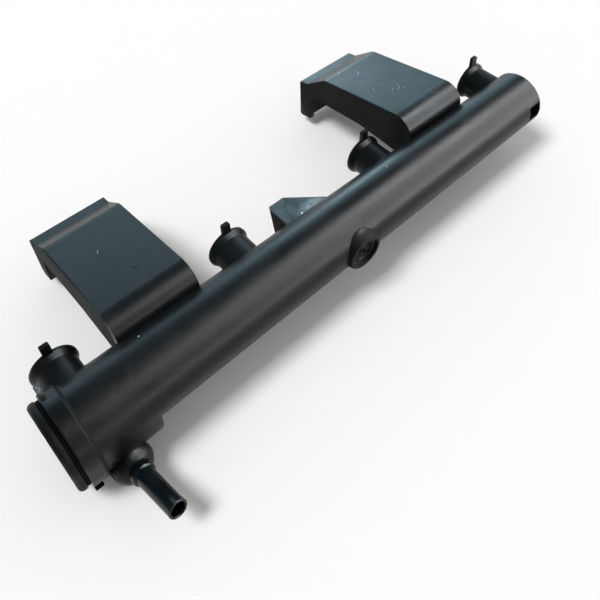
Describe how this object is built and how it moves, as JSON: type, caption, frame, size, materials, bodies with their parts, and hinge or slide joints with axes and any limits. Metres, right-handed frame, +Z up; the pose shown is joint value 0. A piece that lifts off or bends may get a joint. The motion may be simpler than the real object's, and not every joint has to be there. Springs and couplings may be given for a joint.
{
  "type": "fuel rail",
  "caption": "Black moulded fuel rail with tapered tube, oblong capped chamber, injector cups, hooked arms, front port and inlet spigot.",
  "frame": {"origin": "on the first injector cup's axis, where the straight wall of its bore starts", "axes": "+X along the rail from the capped end to the closed end, +Y out of the injector cups, +Z up"},
  "size_m": [0.2846, 0.1386, 0.0509],
  "materials": {
    "rail_nylon": "satin black glass-filled nylon",
    "cap_nylon": "satin black nylon",
    "seal_rubber": "dull black rubber",
    "spigot_coating": "glossy black coated steel",
    "ring_steel": "dull steel"
  },
  "bodies": {
    "root": {"rail_body": "rail_nylon", "end_cap": "cap_nylon", "end_cap_seal": "seal_rubber", "inlet_spigot": "spigot_coating", "port_plug": "cap_nylon", "port_seal": "seal_rubber", "port_snap_ring": "ring_steel"}
  },
  "joints": []
}
